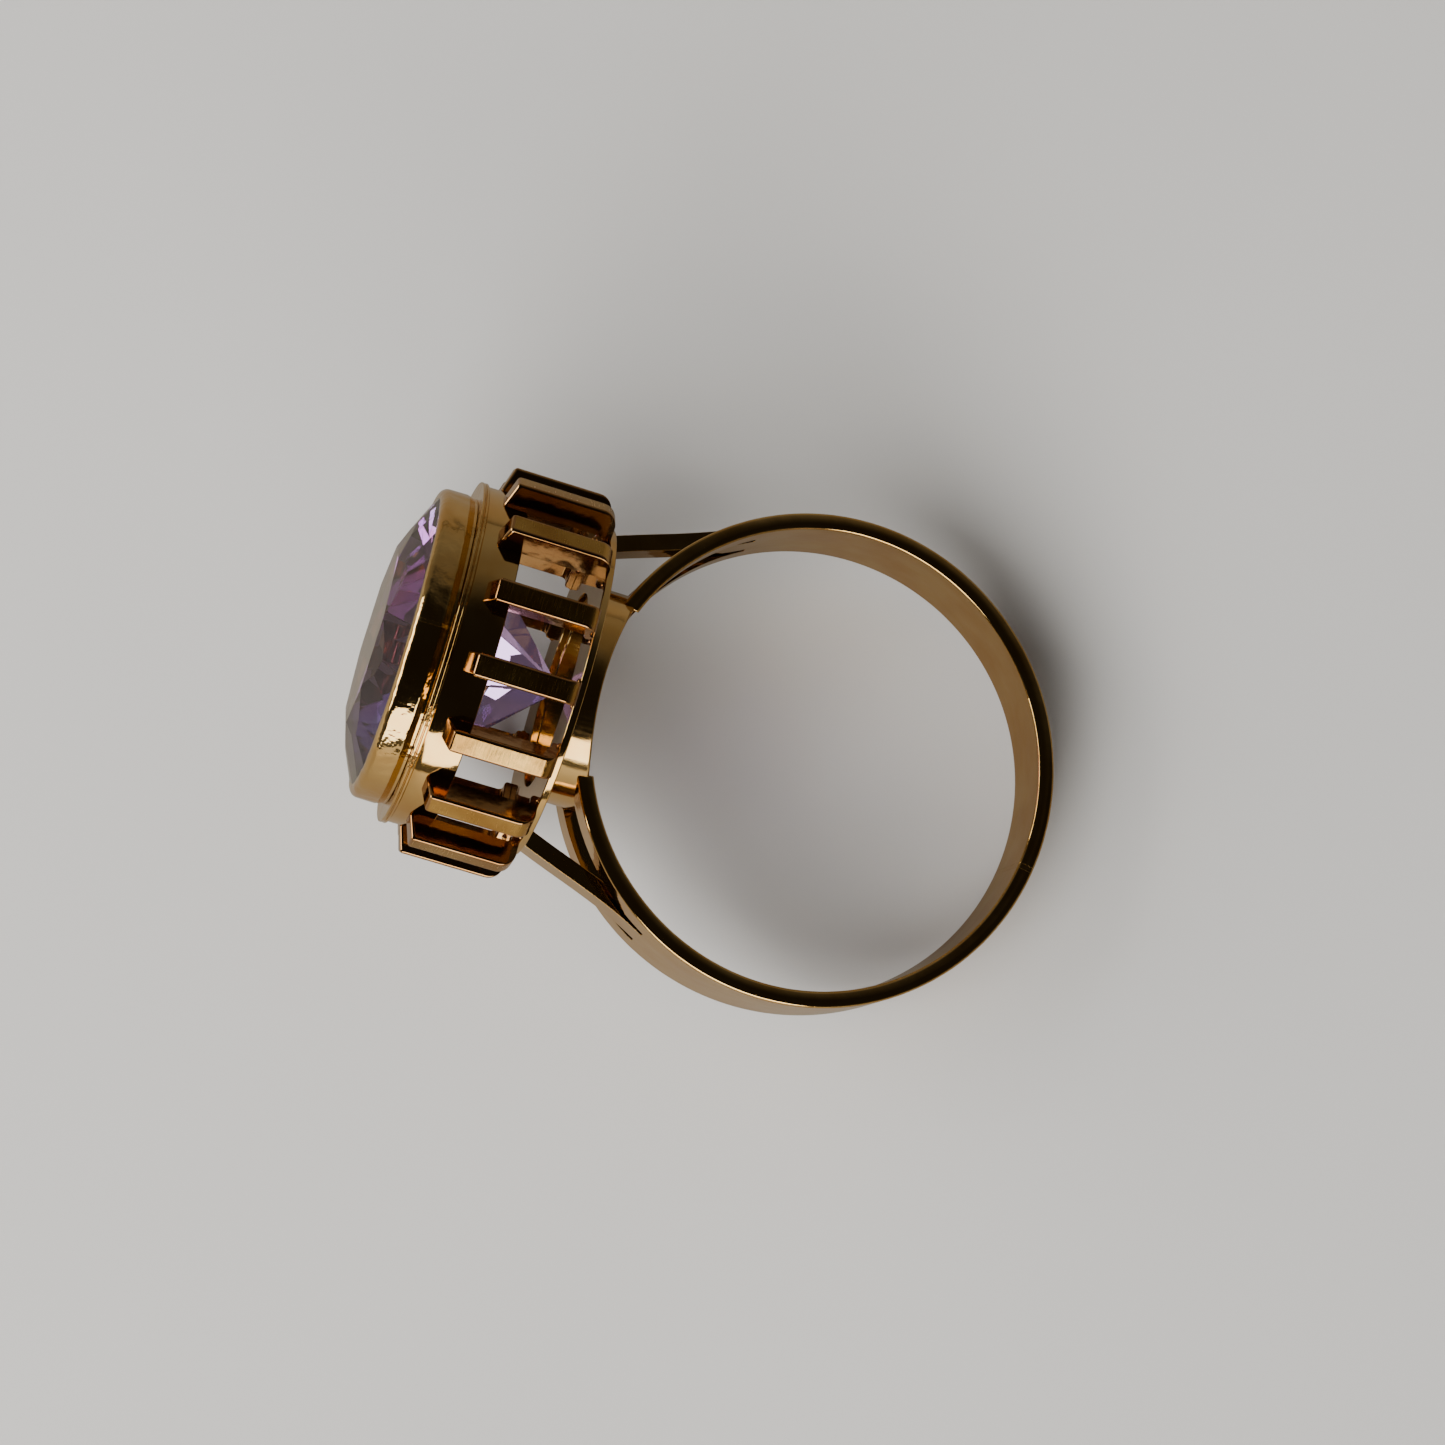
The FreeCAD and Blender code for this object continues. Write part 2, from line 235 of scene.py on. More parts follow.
def lathe(outline: Sequence[Pair], segments: int,
          shape: Optional[Callable[[float, float, float], Vector]] = None) -> Solid:
    """Turn a closed (radius, height) outline round the head axis.

    Args:
        outline: the outline's points in order.
        segments: how many spans go round.
        shape: optional rule that moves each point, from its angle, radius and height.

    Returns:
        The closed ring as a mesh.
    """
    bm = bmesh.new()
    rows = []
    for index in range(segments):
        angle = math.tau * index / segments
        row = []
        for radius, height in outline:
            place = shape(angle, radius, height) if shape else on_ring(angle, radius, height)
            row.append(bm.verts.new(place))
        rows.append(row)
    skin_rows(bm, rows, True)
    return bm


def on_ring(angle: float, radius: float, height: float) -> Vector:
    """Place a point from its angle round the head axis, its radius and its height."""
    return Vector((radius * math.cos(angle), radius * math.sin(angle), height))


def skin_rows(bm: Solid, rows: Sequence[Sequence[Vert]], closed: bool) -> None:
    """Join rows of equal length, each a closed loop, with quads.

    Args:
        bm: the mesh that holds the rows.
        rows: the rows in order.
        closed: whether the last row joins the first.
    """
    count = len(rows)
    for index in range(count if closed else count - 1):
        near = rows[index]
        far = rows[(index + 1) % count]
        size = len(near)
        for step in range(size):
            after = (step + 1) % size
            bm.faces.new((near[step], far[step], far[after], near[after]))


def hand_wobble(seed: int, size: float, waves: int = 5) -> Callable[[float], float]:
    """Make a smooth, closed wobble round a ring, as a hand-pushed edge has.

    Args:
        seed: seed of the draw.
        size: the most that it dips, in millimetres.
        waves: how many sine waves it adds up.

    Returns:
        A rule from an angle to a dip between 0 and size.
    """
    draw = random.Random(seed)
    parts = [(draw.randint(2, 11), draw.uniform(0.0, math.tau), draw.uniform(0.4, 1.0)) for _ in range(waves)]
    total = sum(weight for _, _, weight in parts)

    def rule(angle: float) -> float:
        """Give the dip at one angle."""
        level = sum(weight * math.sin(count * angle + phase) for count, phase, weight in parts) / total
        return size * (level + 1.0) / 2.0

    return rule


# --- shader nodes and node groups ---


def add_node(tree: Tree, kind: str, links: Optional[dict] = None,
             **settings: object) -> bpy.types.Node:
    """Add a node to a tree, set its properties and feed its inputs.

    Args:
        tree: the node tree.
        kind: the node's type.
        links: input name or number to a socket or a plain value.
        settings: properties of the node.

    Returns:
        The node.
    """
    node = tree.nodes.new(kind)
    for key, value in settings.items():
        setattr(node, key, value)
    for key, value in (links or {}).items():
        if isinstance(value, Socket):
            tree.links.new(value, node.inputs[key])
        else:
            node.inputs[key].default_value = value
    return node


def calculate(tree: Tree, operation: str, *values: object) -> Socket:
    """Add a math node fed with sockets or plain numbers, and give its result's socket."""
    return add_node(tree, "ShaderNodeMath", dict(enumerate(values)), operation=operation).outputs["Value"]


def stretched(tree: Tree, value: Socket, span: Pair) -> Socket:
    """Stretch a value so that its span runs from 0 to 1, and give the result's socket."""
    links = {"Value": value, "From Min": span[0], "From Max": span[1]}
    return add_node(tree, "ShaderNodeMapRange", links).outputs["Result"]


def blended(tree: Tree, share: Socket, first: object,
            second: object) -> Socket:
    """Mix two colours by a share from 0 to 1, and give the mixed colour's socket."""
    return add_node(tree, "ShaderNodeMix", {0: share, 6: first, 7: second}, data_type="RGBA").outputs[2]


def noise(tree: Tree, place: Socket, scale: object, detail: float,
          roughness: float = 0.5) -> Socket:
    """Add a noise texture and give its value's socket."""
    links = {"Vector": place, "Scale": scale, "Detail": detail, "Roughness": roughness}
    return add_node(tree, "ShaderNodeTexNoise", links).outputs["Fac"]


def dented(tree: Tree, height: Socket, depth: float,
           normal: Optional[Socket] = None) -> Socket:
    """Bend the surface normal by a height map.

    Args:
        tree: the material's node tree.
        height: the height map.
        depth: its depth in millimetres.
        normal: the normal that it starts from, if not the plain one.

    Returns:
        The bent normal's socket.
    """
    links = {"Height": height, "Distance": depth * MM, "Strength": 1.0}
    if normal is not None:
        links["Normal"] = normal
    return add_node(tree, "ShaderNodeBump", links).outputs["Normal"]


def new_material(name: str) -> tuple[bpy.types.Material, Tree, bpy.types.Node]:
    """Start a node material, and give it with its tree and its Principled shader."""
    material = bpy.data.materials.new(name)
    material.use_nodes = True
    return material, material.node_tree, material.node_tree.nodes["Principled BSDF"]


class GroupMaker:
    """One shader node group in the making, with named sockets."""

    def __init__(self, name: str) -> None:
        """Start an empty group."""
        self.tree = bpy.data.node_groups.new(name, "ShaderNodeTree")
        self.inner = self.tree.nodes.new("NodeGroupInput")
        self.outer = self.tree.nodes.new("NodeGroupOutput")

    def take(self, name: str, kind: str = "NodeSocketFloat", value: object = None) -> Socket:
        """Add an input.

        Args:
            name: the input's name.
            kind: its socket type.
            value: its value when nothing is linked.

        Returns:
            The socket that carries it inside the group.
        """
        socket = self.tree.interface.new_socket(name=name, in_out="INPUT", socket_type=kind)
        if value is not None:
            socket.default_value = value
        return self.inner.outputs[name]

    def give(self, name: str, source: Socket, kind: str = "NodeSocketFloat") -> None:
        """Add an output and link it to its source."""
        self.tree.interface.new_socket(name=name, in_out="OUTPUT", socket_type=kind)
        self.tree.links.new(source, self.outer.inputs[name])


class Effects:
    """The shader groups that more than one finish uses, built once."""

    scratch_turns = ((0.4, 0.2, 0.9), (1.3, 0.8, 2.2), (2.1, 1.7, 0.3))
    scratch_stretch = (0.35, 9.0, 9.0)
    scratch_spacing = 3.7
    scratch_span = (0.63, 0.70)
    fine_polish_scale = 4.5
    fine_polish_share = 0.16
    groove_roughness = 0.6
    groove_span = (0.48, 0.68)
    patch_scale = 2.2
    drift_scale = 0.45
    drift_span = (0.38, 0.62)

    def __init__(self) -> None:
        """Build every group."""
        self.space = self.ring_space()
        self.scratches = self.hairline_scratches()
        self.polish = self.hand_polish()
        self.file_marks = self.file_grooves()
        self.colour_drift = self.alloy_drift()

    @staticmethod
    def place(tree: Tree, group: Tree, links: dict) -> bpy.types.Node:
        """Put a group into a material and feed its inputs."""
        return add_node(tree, "ShaderNodeGroup", links, node_tree=group)

    @staticmethod
    def ring_space() -> Tree:
        """Build the group that gives a surface point in the design frame, in millimetres.

        Returns:
            The node group, whose outputs are the point, its angle round the head axis, its angle
            round the finger axis and its height.
        """
        make = GroupMaker("ring_space")
        tree = make.tree
        lying = make.take("Object", "NodeSocketVector")
        lean = math.atan2(LYING.finger.x, LYING.finger.z)
        upright = add_node(tree, "ShaderNodeVectorRotate", {"Vector": lying, "Angle": -lean},
                           rotation_type="Y_AXIS")
        parts = add_node(tree, "ShaderNodeSeparateXYZ", {"Vector": upright.outputs["Vector"]})
        across = calculate(tree, "MULTIPLY", parts.outputs["Y"], -1.0 / MM)
        finger = calculate(tree, "MULTIPLY", parts.outputs["Z"], 1.0 / MM)
        head = calculate(tree, "MULTIPLY", parts.outputs["X"], -1.0 / MM)
        here = add_node(tree, "ShaderNodeCombineXYZ", {"X": across, "Y": finger, "Z": head})
        make.give("Place", here.outputs["Vector"], "NodeSocketVector")
        make.give("Angle", calculate(tree, "ARCTAN2", finger, across))
        make.give("Turn", calculate(tree, "ARCTAN2", head, across))
        make.give("Height", head)
        return tree

    def hairline_scratches(self) -> Tree:
        """Build the hairline scratches of a worn polish: long thin lines at three angles.

        Returns:
            The node group, whose output is a mask that is highest on a scratch.
        """
        make = GroupMaker("hairline_scratches")
        tree = make.tree
        here = make.take("Place", "NodeSocketVector")
        scale = make.take("Scale", value=1.0)
        amount = make.take("Amount", value=0.5)
        total = 0.0
        for index, turn in enumerate(self.scratch_turns):
            turned = add_node(tree, "ShaderNodeMapping", {
                "Vector": here, "Rotation": turn, "Scale": self.scratch_stretch})
            grain = add_node(tree, "ShaderNodeTexNoise", {
                "Vector": turned.outputs["Vector"], "Scale": scale, "Detail": 2.0,
                "W": self.scratch_spacing * index}, noise_dimensions="4D")
            line = stretched(tree, grain.outputs["Fac"], self.scratch_span)
            total = calculate(tree, "MAXIMUM", total, line)
        make.give("Mask", calculate(tree, "MULTIPLY", total, amount))
        return tree

    def hand_polish(self) -> Tree:
        """Build the slow unevenness that hand polishing leaves on gold.

        Returns:
            The node group, whose output is a height.
        """
        make = GroupMaker("hand_polish")
        tree = make.tree
        here = make.take("Place", "NodeSocketVector")
        scale = make.take("Scale", value=0.6)
        slow = noise(tree, here, scale, 1.0)
        fine = noise(tree, here, calculate(tree, "MULTIPLY", scale, self.fine_polish_scale), 1.5)
        make.give("Height", calculate(tree, "MULTIPLY_ADD", fine, self.fine_polish_share, slow))
        return tree

    def file_grooves(self) -> Tree:
        """Build the short parallel grooves of a fine file.

        Returns:
            The node group, whose outputs are a height and a mask of the deeper grooves.
        """
        make = GroupMaker("file_marks")
        tree = make.tree
        here = make.take("Place", "NodeSocketVector")
        stretch = make.take("Stretch", "NodeSocketVector", (1.0, 1.0, 1.0))
        drawn = add_node(tree, "ShaderNodeVectorMath", {0: here, 1: stretch}, operation="MULTIPLY")
        fine = noise(tree, drawn.outputs["Vector"], 1.0, 3.0, self.groove_roughness)
        make.give("Height", calculate(tree, "MULTIPLY", fine, noise(tree, here, self.patch_scale, 1.0)))
        make.give("Mask", stretched(tree, fine, self.groove_span))
        return tree

    def alloy_drift(self) -> Tree:
        """Build the slow drift of an alloy's colour, from pale yellow to a rosier tone.

        Returns:
            The node group, whose output is a colour.
        """
        make = GroupMaker("colour_drift")
        tree = make.tree
        here = make.take("Place", "NodeSocketVector")
        pale = make.take("Pale", "NodeSocketColor", WHITE)
        rosy = make.take("Rosy", "NodeSocketColor", WHITE)
        share = stretched(tree, noise(tree, here, self.drift_scale, 3.0), self.drift_span)
        make.give("Color", blended(tree, share, pale, rosy), "NodeSocketColor")
        return tree


# --- finishes ---


@dataclass(frozen=True)
class GoldFinish:
    """One finish of the fourteen-carat gold.

    Attributes:
        name: the material's name.
        tool: what last touched the surface.
        pale: the paler tone of the alloy; the cage's finish takes a darker one as painted shade.
        rosy: the rosier tone of the alloy; the cage's finish takes a darker one as painted shade.
        roughness: roughness between the marks.
        wear: how strongly hairline scratches show.
        polish_depth: depth of the slow unevenness, in millimetres.
        polish_scale: how closely the unevenness repeats.
        mark_depth: depth of the file's grooves, in millimetres, 0 for none.
        seam: the ring_space angle that a solder seam follows and its value in radians, if any.
        scratch_scale: how closely the scratches repeat.
        scratch_depth: depth of a scratch, in millimetres.
        scratch_haze: roughness that a scratch adds.
        mark_haze: roughness that a file's groove adds.
        seam_haze: roughness that a seam adds.
        seam_width: half the seam's width, in radians.
        seam_depth: depth of the seam, in millimetres.
    """

    name: str
    tool: Tool = Tool.BUFF
    pale: Colour = (0.67, 0.44, 0.165, 1.0)
    rosy: Colour = (0.61, 0.355, 0.112, 1.0)
    roughness: float = 0.06
    wear: float = 0.5
    polish_depth: float = 0.02
    polish_scale: float = 0.55
    mark_depth: float = 0.0
    seam: Optional[tuple[str, float]] = None
    scratch_scale: float = 2.2
    scratch_depth: float = 0.0003
    scratch_haze: float = 0.12
    mark_haze: float = 0.09
    seam_haze: float = 0.12
    seam_width: float = 0.011
    seam_depth: float = 0.006

    def stretch(self) -> Triple:
        """Give how much finer the grooves are along each design axis."""
        return (9.0, 9.0, 0.8) if self.tool is Tool.FILE_ALONG else (1.6, 1.6, 16.0)

    def build(self, effects: Effects) -> bpy.types.Material:
        """Build the material from the shared shader groups."""
        material, tree, shader = new_material(self.name)
        shader.inputs["Metallic"].default_value = 1.0
        where = add_node(tree, "ShaderNodeTexCoord")
        space = effects.place(tree, effects.space, {"Object": where.outputs["Object"]})
        here = space.outputs["Place"]
        drift = effects.place(tree, effects.colour_drift, {
            "Place": here, "Pale": self.pale, "Rosy": self.rosy})
        tree.links.new(drift.outputs["Color"], shader.inputs["Base Color"])
        scratch = effects.place(tree, effects.scratches, {
            "Place": here, "Scale": self.scratch_scale, "Amount": self.wear}).outputs["Mask"]
        polish = effects.place(tree, effects.polish, {"Place": here, "Scale": self.polish_scale})
        rough = calculate(tree, "MULTIPLY_ADD", scratch, self.scratch_haze, self.roughness)
        normal = dented(tree, polish.outputs["Height"], self.polish_depth)
        normal = dented(tree, scratch, -self.scratch_depth, normal)
        if self.mark_depth > 0.0:
            marks = effects.place(tree, effects.file_marks, {"Place": here, "Stretch": self.stretch()})
            rough = calculate(tree, "MULTIPLY_ADD", marks.outputs["Mask"], self.mark_haze, rough)
            normal = dented(tree, marks.outputs["Height"], self.mark_depth, normal)
        if self.seam:
            name, value = self.seam
            line = calculate(tree, "COMPARE", space.outputs[name], value, self.seam_width)
            rough = calculate(tree, "MULTIPLY_ADD", line, self.seam_haze, rough)
            normal = dented(tree, line, -self.seam_depth, normal)
        tree.links.new(rough, shader.inputs["Roughness"])
        tree.links.new(normal, shader.inputs["Normal"])
        return material


@dataclass(frozen=True)
class StoneFinish:
    """The amethyst: clear purple quartz with soft colour zones; the crown's brownish tone is partly a painted
    reflection of the gold around it.

    Attributes:
        name: the material's name.
        light: colour of the pavilion.
        deep: colour of the crown over the stone's middle, its brownish tint a painted reflection of the gold
            setting.
        violet: colour of the crown towards its two ends.
        sheen: tint of what the facets reflect face on.
        index: refractive index of quartz.
        crown_span: heights between which the crown's colour sets in, in millimetres.
        ends_span: distances from the middle between which the violet sets in, in millimetres.
        drift: how far the noise shifts the zones, in millimetres.
        drift_scale: how closely the noise repeats.
        wear: how strongly hairline scratches show.
        scratch_scale: how closely they repeat.
        roughness: roughness between the scratches.
        scratch_haze: roughness that a scratch adds.
    """

    name: str = "amethyst_quartz"
    light: Colour = (0.45, 0.50, 1.0, 1.0)
    deep: Colour = (0.38, 0.14, 0.25, 1.0)
    violet: Colour = (0.28, 0.09, 0.66, 1.0)
    sheen: Colour = (0.50, 0.22, 0.42, 1.0)
    index: float = 1.544
    crown_span: Pair = (17.25, 17.65)
    ends_span: Pair = (2.2, 4.6)
    drift: float = 1.2
    drift_scale: float = 0.3
    wear: float = 0.25
    scratch_scale: float = 0.8
    roughness: float = 0.006
    scratch_haze: float = 0.06

    def build(self, effects: Effects) -> bpy.types.Material:
        """Build the material from the shared shader groups."""
        material, tree, shader = new_material(self.name)
        shader.inputs["Transmission Weight"].default_value = 1.0
        shader.inputs["IOR"].default_value = self.index
        shader.inputs["Specular Tint"].default_value = self.sheen
        where = add_node(tree, "ShaderNodeTexCoord")
        space = effects.place(tree, effects.space, {"Object": where.outputs["Object"]})
        here = space.outputs["Place"]
        cloud = noise(tree, here, self.drift_scale, 2.0)
        level = calculate(tree, "MULTIPLY_ADD", cloud, self.drift, space.outputs["Height"])
        parts = add_node(tree, "ShaderNodeSeparateXYZ", {"Vector": here})
        reach = calculate(tree, "ABSOLUTE", parts.outputs["X"])
        crown = blended(tree, stretched(tree, reach, self.ends_span), self.deep, self.violet)
        # Deeper crown over a paler pavilion: colour zoning, its brownish tint a painted reflection of the
        # gold setting.
        colour = blended(tree, stretched(tree, level, self.crown_span), self.light, crown)
        tree.links.new(colour, shader.inputs["Base Color"])
        scratch = effects.place(tree, effects.scratches, {
            "Place": here, "Scale": self.scratch_scale, "Amount": self.wear})
        rough = calculate(tree, "MULTIPLY_ADD", scratch.outputs["Mask"], self.scratch_haze, self.roughness)
        tree.links.new(rough, shader.inputs["Roughness"])
        return material


class Bench:
    """The finishes laid out for use, and the way that a finished piece joins the ring."""

    def __init__(self) -> None:
        """Build every finish."""
        effects = Effects()
        self.polished = GoldFinish("gold_polished").build(effects)
        self.band = GoldFinish("gold_band", polish_depth=0.03, seam=("Turn", BAND_SEAM)).build(effects)
        self.burnished = GoldFinish("gold_burnished", polish_depth=0.06, polish_scale=1.2,
                                    seam=("Angle", BEZEL_SEAM)).build(effects)
        # Darker copy of the gold for the bars' sides, tops and ends: painted shade for the dim light between
        # the bars.
        self.cage = GoldFinish("gold_cage_sides_painted_shade", roughness=0.08, wear=0.4, pale=(0.44, 0.25, 0.10, 1.0),
                               rosy=(0.37, 0.18, 0.062, 1.0)).build(effects)
        self.satin = GoldFinish("gold_bar_faces", Tool.FILE_ACROSS, roughness=0.2, wear=0.3, mark_depth=0.012,
                                pale=(0.50, 0.30, 0.085, 1.0), rosy=(0.38, 0.20, 0.05, 1.0)).build(effects)
        self.filed = GoldFinish("gold_tube", Tool.FILE_ALONG, roughness=0.08, wear=0.3,
                                mark_depth=0.0022).build(effects)
        self.stone = StoneFinish().build(effects)

    @staticmethod
    def deliver(piece: bpy.types.Object, slot: Slot, nodes: Iterable[str],
                *materials: bpy.types.Material) -> bpy.types.Object:
        """Dress a piece, fix it to the ring and hide the CAD nodes that it stands for.

        Args:
            piece: the finished piece.
            slot: the record's material slot for the piece; not used.
            nodes: the CAD nodes that it replaces.
            materials: its materials, in slot order.

        Returns:
            The piece.
        """
        for index, material in enumerate(materials):
            if index < len(piece.data.materials):
                piece.data.materials[index] = material
            else:
                piece.data.materials.append(material)
        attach(piece, "root")
        for node in nodes:
            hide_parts(node)
        LOG.info("%s: %d faces", piece.name, len(piece.data.polygons))
        return piece


# --- sub-assemblies ---


@dataclass
class Stone:
    """Round brilliant-cut amethyst.

    Attributes are radii and heights in millimetres, and breaks are shares of the radius and of the
    crown's or the pavilion's height.
    """

    radius: float = 5.88
    table_radius: float = 3.6
    table: float = 17.78
    girdle_top: float = 16.76
    girdle_bottom: float = 16.5
    culet: float = 10.3
    culet_radius: float = 0.12
    edge: float = 0.018
    blank_sides: int = 96
    join: float = 0.004
    halves_step: float = 0.02
    pavilion_break: Pair = (0.2, 0.13)
    crown_break: Pair = (0.8, 0.56)
    star_rise: float = 0.62
    star_share: float = 0.93

    def tiers(self) -> list[tuple[int, float, Pair, Pair]]:
        """List the tiers of facets.

        Returns:
            For each tier its count, first angle in degrees, and two (radius, height) points.
        """
        crown = self.table - self.girdle_top
        low = (self.radius * self.pavilion_break[0],
               self.culet + (self.girdle_bottom - self.culet) * self.pavilion_break[1])
        high = (self.radius * self.crown_break[0], self.girdle_top + crown * self.crown_break[1])
        star = (self.radius * self.crown_break[0], self.girdle_top + crown * self.star_rise)
        return [
            (8, 0.0, (self.culet_radius, self.culet), (self.radius, self.girdle_bottom)),
            (16, HALF_PITCH, low, (self.radius, self.girdle_bottom - self.halves_step)),
            (8, 0.0, (self.table_radius, self.table), (self.radius, self.girdle_top)),
            (16, HALF_PITCH, high, (self.radius, self.girdle_top + self.halves_step)),
            (8, STAR_TURN, (self.table_radius * self.star_share, self.table), star),
        ]

    def cut(self) -> Solid:
        """Cut the stone from a round blank, one flat facet at a time.

        Returns:
            The closed, many-sided stone.
        """
        bm = bmesh.new()
        blank = Matrix.Translation((0.0, 0.0, (self.table + self.culet) / 2.0))
        bmesh.ops.create_cone(bm, cap_ends=True, segments=self.blank_sides, radius1=self.radius,
                              radius2=self.radius, depth=self.table - self.culet, matrix=blank)
        for count, start, inner, outer in self.tiers():
            for index in range(count):
                angle = math.radians(start + index * 360.0 / count)
                self.cut_facet(bm, angle, inner, outer)
        bmesh.ops.remove_doubles(bm, verts=bm.verts, dist=self.join)
        bmesh.ops.dissolve_degenerate(bm, edges=bm.edges, dist=self.join)
        return bm

    @staticmethod
    def cut_facet(bm: Solid, angle: float, inner: Pair, outer: Pair) -> None:
        """Cut away everything outside one facet's plane and close the cut.

        Args:
            bm: the stone so far.
            angle: the facet's angle round the head axis.
            inner: a point of the plane at that angle, nearer the axis.
            outer: another one, nearer the girdle.
        """
        start = on_ring(angle, *inner)
        along = on_ring(angle, *outer) - start
        tangent = Vector((-math.sin(angle), math.cos(angle), 0.0))
        normal = along.cross(tangent).normalized()
        if normal.dot(Vector((math.cos(angle), math.sin(angle), 0.0))) < 0.0:
            normal.negate()
        geometry = bm.verts[:] + bm.edges[:] + bm.faces[:]
        done = bmesh.ops.bisect_plane(bm, geom=geometry, plane_co=start, plane_no=normal, clear_outer=True,
                                      dist=1e-5)
        rim = [item for item in done["geom_cut"] if isinstance(item, bmesh.types.BMEdge)]
        if rim:
            bmesh.ops.contextual_create(bm, geom=rim)

    def build(self, bench: Bench) -> None:
        """Build and dress the stone."""
        piece = settle("amethyst_stone", self.cut(), bevel=self.edge, smooth=False, segments=1, limit=2.0)
        bench.deliver(piece, Slot.STONE, ["amethyst"], bench.stone)


@dataclass
class Setting:
    """Bezel, seat, flange and collar: the turned rings that hold the stone.

    Attributes are radii and heights in millimetres.
    """

    bezel_radius: float = 6.2
    bezel_waist: float = 6.12
    bezel_wall: float = 0.28
    lip_height: float = 16.88
    lip_radius: float = 5.74
    girdle_top: float = 16.76
    flange_radius: float = 6.82
    flange_hole: float = 5.6
    flange_height: float = 15.2
    flange_thickness: float = 0.25
    collar_radius: float = 6.72
    collar_wall: float = 0.5
    collar_foot: float = 13.65
    foot_rise: float = 0.36
    lip_edge: float = 0.07
    lip_dip: float = 0.035
    lip_press: float = 0.03
    groove_depth: float = 0.09
    groove_land: float = 0.085
    segments: int = 320

    def bezel(self, bench: Bench) -> None:
        """Build the wall whose lip is rubbed over the stone's girdle."""
        foot = self.flange_height + self.flange_thickness
        inner = self.bezel_radius - self.bezel_wall
        outline = round_corners([
            (inner, foot),
            (self.bezel_waist, foot),
            (self.bezel_waist - 0.01, foot + 0.12),
            (self.bezel_radius, foot + self.foot_rise),
            (self.bezel_radius, self.lip_height - 0.02),
            (self.lip_radius, self.lip_height),
            (self.lip_radius + 0.02, self.lip_height - self.lip_edge),
            (inner, self.girdle_top + 0.01),
        ], [0.0, 0.02, 0.12, 0.3, 0.34, 0.03, 0.02, 0.0], steps=9)
        dip = hand_wobble(SEED + 1, self.lip_dip)
        press = hand_wobble(SEED + 2, self.lip_press)

        def shape(angle: float, radius: float, height: float) -> Vector:
            """Let the wall and its lip wander a little, as burnishing leaves them."""
            share = max(0.0, min(1.0, (height - foot) / (self.lip_height - foot)))
            return on_ring(angle, radius - dip(angle) * share, height - press(angle) * share ** 3)

        piece = settle("bezel_wall", lathe(outline, self.segments, shape))
        bench.deliver(piece, Slot.POLISHED, ["bezel"], bench.burnished)

    def flange(self, bench: Bench) -> None:
        """Build the thin stepped washer with a groove round its rim."""
        low = self.flange_height
        high = low + self.flange_thickness
        rim = self.flange_radius
        outline = round_corners([
            (self.flange_hole, low),
            (rim, low),
            (rim, low + self.groove_land),
            (rim - self.groove_depth, low + self.flange_thickness / 2.0),
            (rim, high - self.groove_land),
            (rim, high),
            (self.flange_hole, high),
        ], [0.0, 0.03, 0.03, 0.02, 0.03, 0.03, 0.0], steps=4)
        piece = settle("bezel_flange_ring", lathe(outline, self.segments))
        bench.deliver(piece, Slot.POLISHED, ["bezel_flange"], bench.burnished)

    def collar(self, bench: Bench) -> None:
        """Build the short cylinder that the bars are soldered to."""
        inner = self.collar_radius - self.collar_wall
        outline = round_corners([
            (inner, self.collar_foot),
            (self.collar_radius, self.collar_foot),
            (self.collar_radius, self.flange_height),
            (inner, self.flange_height),
        ], [0.05, 0.05, 0.0, 0.0])
        piece = settle("collar_ring", lathe(outline, self.segments))
        bench.deliver(piece, Slot.POLISHED, ["collar"], bench.polished)

    def seat(self, bench: Bench) -> None:
        """Dress the hidden ledge that carries the stone, which keeps its CAD shape."""
        ledge = frame["nodes"]["bearing_ring"]
        ledge.data.materials.clear()
        ledge.data.materials.append(bench.polished)
        LOG.info("bearing_ring: CAD shape, polished gold")

    def build(self, bench: Bench) -> None:
        """Build and dress the setting."""
        self.bezel(bench)
        self.flange(bench)
        self.collar(bench)
        self.seat(bench)


